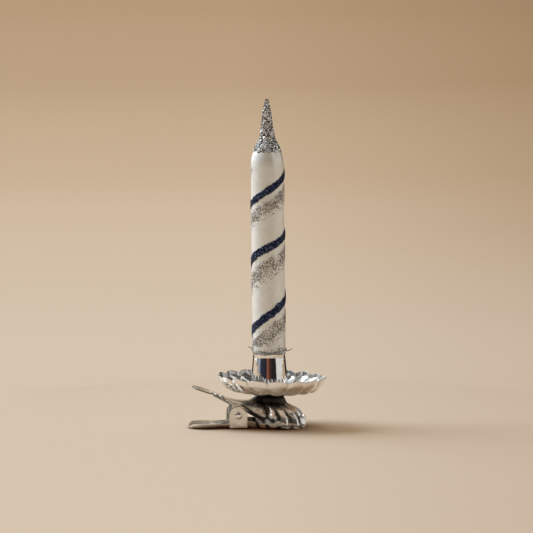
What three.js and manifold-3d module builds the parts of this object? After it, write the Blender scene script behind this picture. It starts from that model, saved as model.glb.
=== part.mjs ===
// A clip-on tree candle: a blown glass candle held in a tapered cup on a scalloped drip pan, riveted to a
// sprung, shell-shaped clip. Millimetres. +Z is up and the clip's jaws point along +X. The origin is on the
// surface that the clip stands on, straight below the rivet that carries the pan.
import * as THREE from "three";
import { mergeVertices } from "three/addons/utils/BufferGeometryUtils.js";
import Module from "manifold-3d";

// Driving dimensions
const clipSheet = 0.45; // thickness of both jaws
const panSheet = 0.35;
const cupSheet = 0.35;
const seatGap = 0.15; // between pieces that rest on each other
const holeGap = 0.25; // between the rivet and its holes
const runningGap = 0.08; // between the pin and the ears that turn on it

const pinX = -12.75; // hinge axis
const pinZ = 5.2;
const pinRadius = 0.9;
const pinHeadRadius = 1.45;
const pinHeadHeight = 0.6;

const fanX = 1.3; // centre of the fan-shaped front of both jaws
const fanReach = 13.2;
const fanHalfWidth = 11.6;
const fluteAngle = 24; // degrees between two ridges of the fan
const fluteDepth = 1.6;
const lowerFluteDepth = 0.8;
const fluteSink = 0.9; // how far a channel sinks below its ridges on the shoulder of the upper jaw
const fluteArch = 1.0; // and how far the rim arches up over it
const flankFlute = 4.6; // length of a flute along the side of the jaw

const waistHalfWidth = 5.6; // upper jaw, behind the hinge
const upperEndX = -30.2;
const lowerEndX = -31.6;
const paddleHalfWidth = 6.3;
const seatZ = 11.85; // mid-surface of the flat hump that carries the pan
const upperTipZ = 0.75; // rim of the upper jaw at its tip
const upperSideZ = 2.6; // and at its widest point
const saddleZ = 10.2; // lowest part of its back, between lever and hump
const saddleFromX = -11.5;
const saddleToX = -8;
const thumbZ = 16.1; // end of the upper lever
const ribsStartX = -23.4; // grip ribs across the upper lever
const ribsEndX = -17.6;
const ribCount = 3;
const ribHeight = 0.32;
const leverCrown = 0.15; // how much lower the lever's edges are than its middle

const lowerRise = 0.4; // how far the lower jaw arches off the table under the hinge
const lowerSideZ = 1.5; // its rim at the widest point
const lowerFlangeZ = 1.85; // and along the lower lever

const earHalfLength = 3.4; // also the radius of the arch on the lower ears
const lowerEarY = 6.2;
const upperEarY = 5.25;
const upperEarRadius = 2.6;
const earSheet = 0.45;

const wireRadius = 0.4; // torsion spring
const coilRadius = 1.95;
const coilHalfLength = 3.3;
const coilTurns = 4;
const lowerLegX = -20.4;
const upperLegX = -20.9;

const rivetRadius = 1.9;
const rivetBore = 1.4;
const rivetHeadRadius = 3.1;
const rivetHeadHeight = 0.45;

const panSeatRadius = 5.2;
const panFootRadius = 16.2;
const panFootRise = 1.95;
const panRimRadius = 20.6;
const panRimRise = 7.1;
const panLobes = 16;
const panLobeDepth = 1.5; // how far each lobe bulges
const panScallop = 0.9; // how far the creases dip at the rim
const panTurn = 11; // degrees: the first crease, seen from above
const panOffset = 0.95; // the dished part sits this far towards the tip of the clip
const panTilt = 1.6; // degrees: and it hangs lower on that side

const cupHeight = 15.95;
const cupBaseRadius = 5;
const cupFootRadius = 7.25; // widest, above the rounded base
const cupRimRadius = 6.2;
const candleLean = 0.55; // degrees: the cup was riveted a little out of true

const candleRadius = 6.35;
const candleShoulderZ = 101; // where the straight body ends
const candleTopZ = 127;
const glassWall = 0.8;
const neckRadius = 5.35;
const neckLength = 11;
const bodyRound = 1.4; // rounding under the body, down to the neck
const stripePitch = 24.3; // on average: the stripes were laid by hand, see stripeTurns
const stripeRelief = 0.2; // thickness of glue and glitter
const blueStripeHeight = 3;
const silverStripeHeight = 5;
const silverStripeDrop = 7.1; // centre of the silver stripe below the blue one
const stripeTopZ = 103;
const stripeBottomZ = 32;

const bindingRadius = 0.18; // binding wire round the joint of glass and cup
const bindingTurns = 1.5;
const bindingPitch = 0.9;
const bindingDroop = 0.1; // the wire sits lower at the front, by this slope
const eyeRadius = 0.85;
const eyeAngle = -55; // degrees, seen from above
const eyeLift = 1.0; // how far the eye's end stands out from its start
const tailLength = 2.4;

const degree = Math.PI / 180;
const wasm = await Module();
wasm.setup();

// Small helpers

const lerp = THREE.MathUtils.lerp;
const smooth = (x, low, high) => THREE.MathUtils.smoothstep(x, low, high);

// Straight-line interpolation in a short table of [x, value] pairs with rising x.
function alongTable(table, x) {
  if (x <= table[0][0]) return table[0][1];
  for (let i = 1; i < table.length; i++) {
    const [x0, v0] = table[i - 1];
    const [x1, v1] = table[i];
    if (x <= x1) return lerp(v0, v1, (x - x0) / (x1 - x0));
  }
  return table[table.length - 1][1];
}

// A surface or closed body from a grid of points: rows run along the first index.
function grid(rows, { closeRows = false, closeColumns = false, flip = false } = {}) {
  const positions = rows.flat().flatMap((p) => [p.x, p.y, p.z]);
  const width = rows[0].length;
  const index = [];
  const rowCount = closeRows ? rows.length : rows.length - 1;
  const columnCount = closeColumns ? width : width - 1;
  for (let i = 0; i < rowCount; i++) {
    for (let j = 0; j < columnCount; j++) {
      const a = i * width + j;
      const b = i * width + ((j + 1) % width);
      const c = ((i + 1) % rows.length) * width + j;
      const d = ((i + 1) % rows.length) * width + ((j + 1) % width);
      if (flip) index.push(a, b, c, b, d, c);
      else index.push(a, c, b, b, c, d);
    }
  }
  return tidy(positions, index);
}

// Merges equal points and drops the triangles that this makes flat.
function tidy(positions, index) {
  const raw = new THREE.BufferGeometry();
  raw.setAttribute("position", new THREE.Float32BufferAttribute(positions, 3));
  raw.setIndex(index);
  const merged = mergeVertices(raw, 1e-4);
  const corners = merged.index.array;
  const kept = [];
  for (let i = 0; i < corners.length; i += 3) {
    const [a, b, c] = [corners[i], corners[i + 1], corners[i + 2]];
    if (a !== b && b !== c && c !== a) kept.push(a, b, c);
  }
  merged.setIndex(kept);
  return merged;
}

// Gives an open mid-surface its sheet thickness: a copy on each side, joined by a wall along every free edge.
function thicken(surface, thickness) {
  surface.computeVertexNormals();
  const mid = surface.attributes.position;
  const normal = surface.attributes.normal;
  const count = mid.count;
  const positions = [];
  for (const side of [1, -1]) {
    for (let i = 0; i < count; i++) {
      const half = (side * thickness) / 2;
      positions.push(mid.getX(i) + normal.getX(i) * half);
      positions.push(mid.getY(i) + normal.getY(i) * half);
      positions.push(mid.getZ(i) + normal.getZ(i) * half);
    }
  }
  const faces = surface.index.array;
  const index = [];
  const edges = new Set();
  for (let i = 0; i < faces.length; i += 3) {
    const [a, b, c] = [faces[i], faces[i + 1], faces[i + 2]];
    index.push(a, b, c, a + count, c + count, b + count);
    for (const [from, to] of [[a, b], [b, c], [c, a]]) edges.add(`${from},${to}`);
  }
  for (const edge of edges) {
    const [from, to] = edge.split(",").map(Number);
    if (edges.has(`${to},${from}`)) continue;
    index.push(from, from + count, to, to, from + count, to + count);
  }
  return tidy(positions, index);
}

function toSolid(geometry) {
  const bare = new THREE.BufferGeometry();
  const source = geometry.index ? geometry : mergeVertices(geometry);
  bare.setAttribute("position", source.attributes.position.clone());
  bare.setIndex([...source.index.array]);
  const merged = mergeVertices(bare, 1e-4);
  return new wasm.Manifold(
    new wasm.Mesh({
      numProp: 3,
      vertProperties: new Float32Array(merged.attributes.position.array),
      triVerts: new Uint32Array(merged.index.array),
    }),
  );
}

function toGeometry(solid) {
  const mesh = solid.getMesh();
  const geometry = new THREE.BufferGeometry();
  geometry.setAttribute("position", new THREE.BufferAttribute(mesh.vertProperties, 3));
  geometry.setIndex(new THREE.BufferAttribute(mesh.triVerts, 1));
  return geometry;
}

// A round bar lying along Y, as a cutter or a shaft.
function barAlongY(radius, length, sides = 24) {
  const bar = new THREE.CylinderGeometry(radius, radius, length, sides);
  bar.deleteAttribute("normal");
  bar.deleteAttribute("uv");
  return bar;
}

// A tube of round section along a list of points, with closed ends.
function tube(path, radius, sides) {
  const rings = [];
  let across = new THREE.Vector3();
  path.forEach((point, i) => {
    const before = path[Math.max(i - 1, 0)];
    const after = path[Math.min(i + 1, path.length - 1)];
    const along = after.clone().sub(before).normalize();
    if (i === 0) across.crossVectors(along, new THREE.Vector3(0, 0, 1)).normalize();
    across.addScaledVector(along, -across.dot(along)).normalize();
    const third = new THREE.Vector3().crossVectors(along, across);
    const ring = [];
    for (let k = 0; k < sides; k++) {
      const angle = (k / sides) * 2 * Math.PI;
      const spoke = across.clone().multiplyScalar(Math.cos(angle) * radius);
      ring.push(spoke.addScaledVector(third, Math.sin(angle) * radius).add(point));
    }
    rings.push(ring);
  });
  const first = Array(sides).fill(path[0]);
  const last = Array(sides).fill(path[path.length - 1]);
  return grid([last, ...rings.reverse(), first], { closeColumns: true });
}

// The least gap between parts of a tube that lie more than three diameters apart along it.
function leastGap(path, radius) {
  const points = new THREE.CatmullRomCurve3(path).getSpacedPoints(path.length * 6);
  const step = points[0].distanceTo(points[1]);
  const skip = Math.ceil((6 * radius) / step);
  let least = Infinity;
  for (let i = 0; i < points.length; i++) {
    for (let j = i + skip; j < points.length; j++) least = Math.min(least, points[i].distanceTo(points[j]));
  }
  return least - 2 * radius;
}

// The clip's jaws

// Half of a jaw's plan, as rays from the spine to the outline. The fan's rays start round the rivet hole, the
// lever's on the spine, and phase counts the flutes from the tip.
function jawRays({ flank, holeRadius, spineStartX, fanStep, leverStations }) {
  const rays = [];
  for (let angle = 0; angle < 90; angle += fanStep) {
    const direction = new THREE.Vector2(Math.cos(angle * degree), Math.sin(angle * degree));
    rays.push({
      start: direction.clone().multiplyScalar(holeRadius),
      end: new THREE.Vector2(fanX + fanReach * direction.x, fanHalfWidth * direction.y),
      phase: angle / fluteAngle,
    });
  }
  const side = new THREE.SplineCurve(flank.map(([x, y]) => new THREE.Vector2(x, y)));
  const ridgesInFront = 90 / fluteAngle;
  let leverFrom = null;
  leverStations.forEach((share) => {
    const end = side.getPointAt(share);
    const turn = THREE.MathUtils.clamp((fanX - end.x) / (fanX - spineStartX), 0, 1);
    const angle = lerp(90, 180, turn) * degree;
    const start = new THREE.Vector2(Math.cos(angle) * holeRadius, Math.sin(angle) * holeRadius);
    if (turn === 1) {
      leverFrom ??= end.x;
      const reach = (leverFrom - end.x) / (leverFrom - pinX);
      start.set(end.x < pinX ? Math.max(end.x, flank.at(-1)[0] + 2) : lerp(-holeRadius, pinX, reach), 0);
    }
    rays.push({ start, end, phase: ridgesInFront + (side.getLength() * share) / flankFlute });
  });
  const mirrored = rays.slice(1, -1).reverse();
  const flip = (p) => new THREE.Vector2(p.x, -p.y);
  return [...rays, ...mirrored.map((ray) => ({ ...ray, start: flip(ray.start), end: flip(ray.end) }))];
}

// Shares of the flank's length at which rays end: closer together over the fine stretch, where metal is ribbed.
function stations(count, fine) {
  const even = Array.from({ length: count + 1 }, (_, i) => i / count);
  if (!fine) return even;
  const close = Array.from({ length: fine.count + 1 }, (_, i) => lerp(fine.from, fine.to, i / fine.count));
  const apart = even.filter((s) => s < fine.from - 0.008 || s > fine.to + 0.008);
  return [...apart, ...close].sort((a, b) => a - b);
}

// How strongly the flutes show: 0 on a ridge, 1 in the middle of a channel.
function channel(phase, flankFlutes) {
  if (phase >= Math.ceil(90 / fluteAngle) + flankFlutes) return 0;
  return Math.pow(0.5 - 0.5 * Math.cos(phase * 2 * Math.PI), 0.8);
}

// The mid-surface of a jaw: heights fall or rise from the spine to the rim by the share that drop gives.
function jawSurface(rays, steps, { spineZ, rimZ, drop, depth, depthFrom, depthTo, flankFlutes, sink, arch }) {
  const rows = rays.map((ray) => {
    const reach = ray.end.clone().sub(ray.start);
    const outward = reach.clone().normalize();
    return steps.map((t) => {
      const plan = ray.start.clone().addScaledVector(reach, t);
      const fluted = channel(ray.phase, flankFlutes);
      plan.addScaledVector(outward, -depth * fluted * smooth(t, depthFrom, depthTo));
      const high = spineZ(ray.start);
      const low = rimZ(ray.end);
      const sunk = sink * fluted * smooth(t, 0.34, 0.6) * (1 - smooth(t, 0.75, 1));
      const arched = arch * fluted * smooth(t, 0.85, 1);
      return new THREE.Vector3(plan.x, plan.y, lerp(high, low, drop(t)) - sunk + arched);
    });
  });
  return grid(rows, { closeRows: true });
}

// Height of the upper jaw's mid-surface along its spine, from the thumb lever to the hump.
const upperSpine = [
  [upperEndX, thumbZ],
  [ribsStartX, 13.9],
  [ribsEndX, 11.7],
  [saddleFromX - 3.9, saddleZ + 0.8],
  [saddleFromX, saddleZ],
  [saddleToX, saddleZ],
  [saddleToX + 2, lerp(saddleZ, seatZ, 0.3)],
  [saddleToX + 4, seatZ],
];

function upperJaw() {
  const holeRadius = rivetRadius + holeGap;
  const flank = [
    [fanX, fanHalfWidth],
    [-4.2, 9.9],
    [-9.6, 7.6],
    [-15.6, waistHalfWidth],
    [-19.6, waistHalfWidth - 0.3],
    [-23.5, paddleHalfWidth - 0.2],
    [upperEndX + 4, paddleHalfWidth],
    [upperEndX + 0.9, paddleHalfWidth * 0.68],
    [upperEndX, 0],
  ];
  const rays = jawRays({
    flank,
    holeRadius,
    spineStartX: -5,
    fanStep: 4,
    leverStations: stations(30, { from: 0.47, to: 0.66, count: 12 }),
  });
  const spineZ = (p) => {
    const ribShare = (p.x - ribsStartX) / (ribsEndX - ribsStartX);
    const onRibs = ribShare > 0 && ribShare < 1;
    return alongTable(upperSpine, p.x) + (onRibs ? ribHeight * Math.sin(ribShare * ribCount * 2 * Math.PI) : 0);
  };
  const edge = [
    [ribsEndX, alongTable(upperSpine, ribsEndX) - leverCrown],
    [-15.4, 9.8],
    [pinX, 9.0],
    [-9.6, 6.5],
    [-6.5, 4.8],
    [-2.6, 3.1],
    [fanX, upperSideZ],
    [fanX + fanReach * 0.48, 1.35],
    [fanX + fanReach, upperTipZ],
  ];
  const rimZ = (p) => (p.x <= ribsEndX ? spineZ(p) - leverCrown : alongTable(edge, p.x));
  // The hump's edge, the sloping shoulder and the steep fluted front, as [share of the ray, share of the fall].
  const fall = [
    [0, 0],
    [0.24, 0],
    [0.36, 0.24],
    [0.56, 0.35],
    [0.75, 0.48],
    [0.88, 0.65],
    [0.955, 0.77],
    [1, 1],
  ];
  const surface = jawSurface(
    rays,
    fall.map(([t]) => t),
    {
      spineZ,
      rimZ,
      drop: (t) => alongTable(fall, t),
      depth: fluteDepth,
      depthFrom: 0.34,
      depthTo: 0.85,
      flankFlutes: 1,
      sink: fluteSink,
      arch: fluteArch,
    },
  );
  let solid = toSolid(thicken(surface, clipSheet));
  const profile = new THREE.Shape();
  profile.absarc(pinX, pinZ, upperEarRadius, Math.PI, 0);
  profile.lineTo(pinX + upperEarRadius - 0.5, 8.8);
  profile.lineTo(pinX - upperEarRadius + 0.3, 10.3);
  solid = addEars(solid, profile, upperEarY, pinRadius + runningGap);
  return toGeometry(solid);
}

function lowerJaw() {
  const floorZ = clipSheet / 2;
  const flank = [
    [fanX, fanHalfWidth],
    [-4.3, 9.7],
    [-8.8, lowerEarY + 0.2],
    [-16.2, lowerEarY],
    [-19.6, lowerEarY - 0.6],
    [-23.6, paddleHalfWidth + 0.2],
    [lowerEndX + 4, paddleHalfWidth + 0.2],
    [lowerEndX + 0.9, paddleHalfWidth * 0.7],
    [lowerEndX, 0],
  ];
  const rays = jawRays({
    flank,
    holeRadius: 0,
    spineStartX: -5,
    fanStep: 4,
    leverStations: stations(30),
  });
  const spine = [
    [lowerEndX + 8, floorZ],
    [-16.6, floorZ + lowerRise],
    [-8.8, floorZ + lowerRise],
    [-5, floorZ],
  ];
  const edge = [
    [lowerEndX, 0.8],
    [lowerEndX + 2, lowerFlangeZ],
    [-16.2, lowerFlangeZ + 0.1],
    [-9.4, 3],
    [-4.5, 2.5],
    [-2, 1.9],
    [fanX, lowerSideZ],
    [fanX + fanReach * 0.3, 0.8],
    [fanX + fanReach * 0.48, 0.45],
    [fanX + fanReach * 0.7, floorZ],
  ];
  const rise = [
    [0, 0],
    [0.62, 0],
    [0.8, 0.18],
    [0.92, 0.55],
    [1, 1],
  ];
  const surface = jawSurface(
    rays,
    [0, 0.35, 0.62, 0.8, 0.92, 1],
    {
      spineZ: (p) => alongTable(spine, p.x),
      rimZ: (p) => alongTable(edge, p.x),
      drop: (t) => alongTable(rise, t),
      depth: lowerFluteDepth,
      depthFrom: 0.55,
      depthTo: 1,
      flankFlutes: 2,
      sink: 0,
      arch: 0,
    },
  );
  let solid = toSolid(thicken(surface, clipSheet));
  const profile = new THREE.Shape();
  const footZ = floorZ + lowerRise - clipSheet / 2;
  profile.moveTo(pinX - earHalfLength, footZ);
  profile.lineTo(pinX + earHalfLength, footZ);
  profile.absarc(pinX, pinZ, earHalfLength, 0, Math.PI);
  solid = addEars(solid, profile, lowerEarY, pinRadius + runningGap);
  return toGeometry(solid);
}

// Adds a pair of pierced ears, bent square to the sheet, at plus and minus earY.
function addEars(solid, profile, earY, holeRadius) {
  for (const side of [1, -1]) {
    const plate = new THREE.ExtrudeGeometry(profile, { depth: earSheet, bevelEnabled: false, curveSegments: 14 });
    plate.deleteAttribute("normal");
    plate.deleteAttribute("uv");
    plate.rotateX(Math.PI / 2);
    plate.translate(0, side * earY + earSheet / 2, 0);
    solid = solid.add(toSolid(mergeVertices(plate)));
  }
  const bar = barAlongY(holeRadius / Math.cos(Math.PI / 24), 4 * earY);
  bar.translate(pinX, 0, pinZ);
  return solid.subtract(toSolid(mergeVertices(bar)));
}

function hingePin() {
  const grip = lowerEarY + earSheet / 2 + seatGap;
  const points = [new THREE.Vector2(0, -grip - pinHeadHeight)];
  const dome = (side) => {
    const arc = [];
    for (let i = 1; i <= 4; i++) {
      const angle = (i / 4) * (Math.PI / 2);
      const height = grip + pinHeadHeight * Math.cos(angle);
      arc.push(new THREE.Vector2(pinHeadRadius * Math.sin(angle), side * height));
    }
    return arc;
  };
  points.push(...dome(-1), new THREE.Vector2(pinRadius, -grip));
  points.push(new THREE.Vector2(pinRadius, grip), ...dome(1).reverse());
  points.push(new THREE.Vector2(0, grip + pinHeadHeight));
  const pin = new THREE.LatheGeometry(points, 16);
  pin.deleteAttribute("normal");
  pin.deleteAttribute("uv");
  const merged = tidy([...pin.attributes.position.array], [...pin.index.array]);
  merged.translate(pinX, 0, pinZ);
  return merged;
}

// Angle on the coil at which a straight leg leaves for the point (x, z).
function tangentAngle(x, z, side) {
  const distance = Math.hypot(x - pinX, z - pinZ);
  return Math.atan2(z - pinZ, x - pinX) + side * Math.acos(coilRadius / distance);
}

function torsionSpring(lowerLegZ, upperLegZ) {
  const onCoil = (angle, y) =>
    new THREE.Vector3(pinX + coilRadius * Math.cos(angle), y, pinZ + coilRadius * Math.sin(angle));
  const from = tangentAngle(lowerLegX, lowerLegZ, 1);
  const first = from > 0 ? from - 2 * Math.PI : from;
  const leave = tangentAngle(upperLegX, upperLegZ, -1);
  const last = leave + coilTurns * 2 * Math.PI;
  const steps = Math.round((last - first) / (Math.PI / 4));
  const path = [new THREE.Vector3(lowerLegX, -coilHalfLength, lowerLegZ)];
  for (let i = 0; i <= steps; i++) {
    path.push(onCoil(lerp(first, last, i / steps), lerp(-coilHalfLength, coilHalfLength, i / steps)));
  }
  path.push(new THREE.Vector3(upperLegX, coilHalfLength, upperLegZ));
  console.log(`torsion spring: least gap to itself ${leastGap(path, wireRadius).toFixed(2)} mm`);
  return tube(path, wireRadius, 5);
}

// Everything on the rivet's axis

const jawSeatTop = seatZ + clipSheet / 2;
const panFloorZ = jawSeatTop + seatGap;
const cupFloorZ = panFloorZ + panSheet + seatGap;
const rivetSeatZ = cupFloorZ + cupSheet + seatGap;

function lathe(points, sides) {
  const turned = new THREE.LatheGeometry(points.map(([r, z]) => new THREE.Vector2(r, z)), sides);
  turned.deleteAttribute("normal");
  turned.deleteAttribute("uv");
  const merged = tidy([...turned.attributes.position.array], [...turned.index.array]);
  merged.rotateX(Math.PI / 2);
  return merged;
}

function cupRivet() {
  const clenchZ = seatZ - clipSheet / 2 - seatGap;
  return lathe(
    [
      [rivetBore, clenchZ - rivetHeadHeight * 0.6],
      [rivetRadius + 0.4, clenchZ - rivetHeadHeight],
      [rivetHeadRadius - 0.3, clenchZ - rivetHeadHeight * 0.4],
      [rivetHeadRadius - 0.3, clenchZ],
      [rivetRadius, clenchZ],
      [rivetRadius, rivetSeatZ],
      [rivetHeadRadius, rivetSeatZ],
      [rivetHeadRadius - 0.2, rivetSeatZ + rivetHeadHeight * 0.8],
      [rivetRadius, rivetSeatZ + rivetHeadHeight],
      [rivetBore, rivetSeatZ + rivetHeadHeight * 0.6],
      [rivetBore, clenchZ - rivetHeadHeight * 0.6],
    ],
    20,
  );
}

function dripPan() {
  const stepsPerLobe = 4;
  const around = panLobes * stepsPerLobe;
  const base = [
    [rivetRadius + holeGap, 0],
    [panSeatRadius, 0],
    [lerp(panSeatRadius, panFootRadius, 0.18), panFootRise * 0.22],
    [lerp(panSeatRadius, panFootRadius, 0.66), panFootRise * 0.7],
    [panFootRadius, panFootRise],
    [lerp(panFootRadius, panRimRadius, 0.31), lerp(panFootRise, panRimRise, 0.16)],
    [lerp(panFootRadius, panRimRadius, 0.65), lerp(panFootRise, panRimRise, 0.42)],
    [lerp(panFootRadius, panRimRadius, 0.9), lerp(panFootRise, panRimRise, 0.68)],
    [panRimRadius, panRimRise],
  ];
  const rows = base.map(([radius, rise]) => {
    const fluted = smooth(radius, panSeatRadius, panFootRadius + 1.5);
    const atRim = smooth(radius, panFootRadius, panRimRadius);
    const askew = smooth(radius, panSeatRadius, panFootRadius);
    const row = [];
    for (let i = 0; i < around; i++) {
      const angle = panTurn * degree + (i / around) * 2 * Math.PI;
      const bulge = Math.abs(Math.sin((i / stepsPerLobe) * Math.PI));
      const out = fluted * panLobeDepth * (bulge - 0.6);
      const r = radius + out * lerp(0.35, 0.8, atRim);
      const z = rise - out * lerp(0.45, 0, atRim) + atRim * panScallop * (bulge - 0.6);
      const x = r * Math.cos(angle);
      const hang = x * Math.sin(panTilt * degree);
      const height = panFloorZ + panSheet / 2 + z - askew * hang;
      row.push(new THREE.Vector3(x + askew * panOffset, r * Math.sin(angle), height));
    }
    return row;
  });
  return thicken(grid(rows, { closeColumns: true }), panSheet);
}

// The cup's outside as [height over its floor, radius].
const cupOutline = [
  [0, cupBaseRadius],
  [0.7, cupBaseRadius + 1.1],
  [1.7, cupFootRadius - 0.3],
  [2.6, cupFootRadius],
  [cupHeight - 0.8, cupRimRadius],
  [cupHeight, cupRimRadius + 0.1],
];
const cupInside = (z) => alongTable(cupOutline, z - cupFloorZ) - cupSheet;

function candleCup() {
  const boreRadius = rivetRadius + holeGap;
  const outside = cupOutline.map(([z, r]) => [r, cupFloorZ + z]);
  const inside = cupOutline.slice(2).map(([z, r]) => [r - cupSheet, cupFloorZ + z]);
  return lathe(
    [
      [boreRadius, cupFloorZ],
      ...outside,
      ...inside.reverse(),
      [cupBaseRadius + 0.85, cupFloorZ + 0.7 + cupSheet * 0.7],
      [cupBaseRadius - 0.15, cupFloorZ + cupSheet],
      [boreRadius, cupFloorZ + cupSheet],
      [boreRadius, cupFloorZ],
    ],
    36,
  );
}

const cupTopZ = cupFloorZ + cupHeight;
const bodyBottomZ = cupTopZ + seatGap + 0.1;
const neckBottomZ = bodyBottomZ + 0.2 - neckLength;

function cementPlug() {
  const bottom = rivetSeatZ + rivetHeadHeight + seatGap;
  const top = neckBottomZ + neckLength * 0.75;
  const cupInner = (z) => cupInside(z) - seatGap;
  const foot = cupFloorZ + 2.6;
  const neckInner = neckRadius - glassWall;
  return lathe(
    [
      [0, bottom],
      [cupInner(bottom) - 0.25, bottom],
      [cupInner(foot), foot],
      [cupInner(top), top],
      [neckRadius + seatGap, top],
      [neckRadius + seatGap, neckBottomZ - seatGap],
      [neckInner - seatGap, neckBottomZ - seatGap],
      [neckInner - seatGap, top - 1.5],
      [0, top - 2],
    ],
    28,
  );
}

// Where the blue stripe crosses the front, which faces -Y, as [z, turns climbed].
const stripeTurns = [
  [19, -1],
  [44.3, 0],
  [70.3, 1],
  [92.3, 2],
  [115, 3],
];

// The glass: a hollow body open at its neck. Its columns of points climb as helices, so the two raised stripes
// of glue and glitter are columns of their own.
const tipProfile = [
  [candleShoulderZ, candleRadius],
  [103, 6.25],
  [104.7, 5.95],
  [106.3, 5.5],
  [108.2, 4.85],
  [109.9, 3.95],
  [111.6, 3.2],
  [113.6, 2.75],
  [116.8, 2.25],
  [120.3, 1.85],
  [123.6, 1.35],
  [125.6, 0.85],
  [candleTopZ - 0.4, 0.45],
];

function glassCandle() {
  const turnPerMm = (2 * Math.PI) / stripePitch;
  const blueHalf = (blueStripeHeight / 2) * turnPerMm;
  const silverHalf = (silverStripeHeight / 2) * turnPerMm;
  const silverCentre = silverStripeDrop * turnPerMm; // a lower stripe is met later going round
  const edge = 0.04;
  const columns = [];
  const addBand = (centre, half, pieces) => {
    columns.push([centre - half - edge, 0]);
    for (let i = 0; i <= pieces; i++) columns.push([lerp(centre - half, centre + half, i / pieces), 1]);
    columns.push([centre + half + edge, 0]);
  };
  addBand(0, blueHalf, 3);
  addBand(silverCentre, silverHalf, 5);
  const plain = (from, to, pieces) => {
    for (let i = 1; i < pieces; i++) columns.push([lerp(from, to, i / pieces), 0]);
  };
  plain(blueHalf + edge, silverCentre - silverHalf - edge, 3);
  plain(silverCentre + silverHalf + edge, 2 * Math.PI - blueHalf - edge, 12);
  columns.sort((a, b) => a[0] - b[0]);

  const outline = [
    [neckBottomZ, neckRadius],
    [bodyBottomZ, neckRadius],
    [bodyBottomZ + bodyRound * 0.3, candleRadius - 0.25],
    [bodyBottomZ + bodyRound, candleRadius],
  ];
  const bodySteps = 54;
  const lowest = outline[outline.length - 1][0];
  for (let i = 1; i < bodySteps; i++) {
    outline.push([lerp(lowest, candleShoulderZ, i / bodySteps), candleRadius]);
  }
  outline.push(...tipProfile);

  // The stripes climb towards +X across the front.
  const ring = (z, radius, relief, climbZ) =>
    columns.map(([offset, raised]) => {
      const angle = -Math.PI / 2 + alongTable(stripeTurns, climbZ) * 2 * Math.PI + offset;
      const r = radius + raised * relief;
      return new THREE.Vector3(r * Math.cos(angle), r * Math.sin(angle), z);
    });
  const climbFrom = stripeBottomZ - 1;
  const outer = outline.map(([z, radius]) => {
    const faded = smooth(z, climbFrom, stripeBottomZ) * (1 - smooth(z, stripeTopZ - 2, stripeTopZ));
    return ring(z, radius, stripeRelief * faded, THREE.MathUtils.clamp(z, climbFrom, candleShoulderZ));
  });
  const innerOutline = [
    [neckBottomZ, neckRadius - glassWall],
    [bodyBottomZ + 0.4, neckRadius - glassWall],
    [bodyBottomZ + bodyRound + 0.6, candleRadius - glassWall],
  ];
  for (const [z, radius] of tipProfile.slice(0, 10)) innerOutline.push([z, radius - glassWall]);
  const inner = innerOutline.map(([z, radius]) => ring(z, radius, 0, climbFrom)).reverse();
  const pole = (z) => columns.map(() => new THREE.Vector3(0, 0, z));
  const topInside = tipProfile[9][0] + 0.9;
  return grid([pole(topInside), ...inner, ...outer, pole(candleTopZ)], { closeColumns: true, flip: true });
}

// Binding wire round the joint. It sets out at the left, goes round the back to the right, across the front and
// round the back again, with a small eye at the front right. Both ends stand out.
function bindingWire() {
  const ringRadius = candleRadius + bindingRadius + seatGap;
  const middleZ = bodyBottomZ + 0.95;
  const at = (angle, turn, out = 0, up = 0) => {
    const r = ringRadius + out;
    const y = r * Math.sin(angle);
    const z = middleZ + bindingDroop * y + bindingPitch * (bindingTurns / 2 - turn) + up;
    return new THREE.Vector3(r * Math.cos(angle), y, z);
  };
  const stepsPerTurn = 24;
  const eyeTurn = (180 - eyeAngle) / 360;
  const eyeStep = Math.round(eyeTurn * stepsPerTurn);
  const path = [at(Math.PI, 0, tailLength * 0.6, tailLength * 0.3)];
  for (let i = 0; i <= bindingTurns * stepsPerTurn; i++) {
    const turn = i / stepsPerTurn;
    const sweep = Math.PI - turn * 2 * Math.PI;
    const lift = i > eyeStep ? eyeLift * (1 - smooth(turn, eyeTurn + 0.05, 1)) : 0;
    path.push(at(sweep, turn, lift));
    if (i !== eyeStep) continue;
    const eyeSteps = 8;
    for (let k = 1; k < eyeSteps; k++) {
      const roll = (k / eyeSteps) * 2 * Math.PI;
      const along = (eyeRadius * Math.sin(roll)) / ringRadius;
      path.push(at(sweep - along, turn, (eyeLift * k) / eyeSteps, eyeRadius * (1 - Math.cos(roll))));
    }
  }
  path.push(at(0, bindingTurns, tailLength * 0.45, tailLength * 0.1));
  path.push(at(0, bindingTurns, tailLength, tailLength * 0.4));
  console.log(`binding wire: least gap to itself ${leastGap(path, bindingRadius).toFixed(2)} mm`);
  return tube(path, bindingRadius, 5);
}

// Assembly

const brightTin = { color: 0xc9c8c6, metalness: 1, roughness: 0.16 };
const springWire = { color: 0x8d8d8c, metalness: 1, roughness: 0.3 };
const satinGlass = { color: 0xd3cdbf, metalness: 0.55, roughness: 0.4 };
const plaster = { color: 0xd9d4c6, metalness: 0, roughness: 0.9 };

function piece(name, geometry, finish) {
  const mesh = new THREE.Mesh(geometry, new THREE.MeshStandardMaterial(finish));
  mesh.name = name;
  return mesh;
}

const legGap = wireRadius + seatGap;
const lowerLegZ = clipSheet + lowerRise * 0.45 + legGap + 0.1;
const upperLegZ = alongTable(upperSpine, upperLegX) - 1.4 * ribHeight - clipSheet / 2 - legGap;

const leaning = new THREE.Group();
leaning.add(
  piece("candle_cup", candleCup(), brightTin),
  piece("cement_plug", cementPlug(), plaster),
  piece("glass_candle", glassCandle(), satinGlass),
  piece("binding_wire", bindingWire(), springWire),
);
for (const mesh of leaning.children) mesh.geometry.translate(0, 0, -cupFloorZ);
leaning.position.z = cupFloorZ;
leaning.rotation.y = -candleLean * degree;

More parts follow.
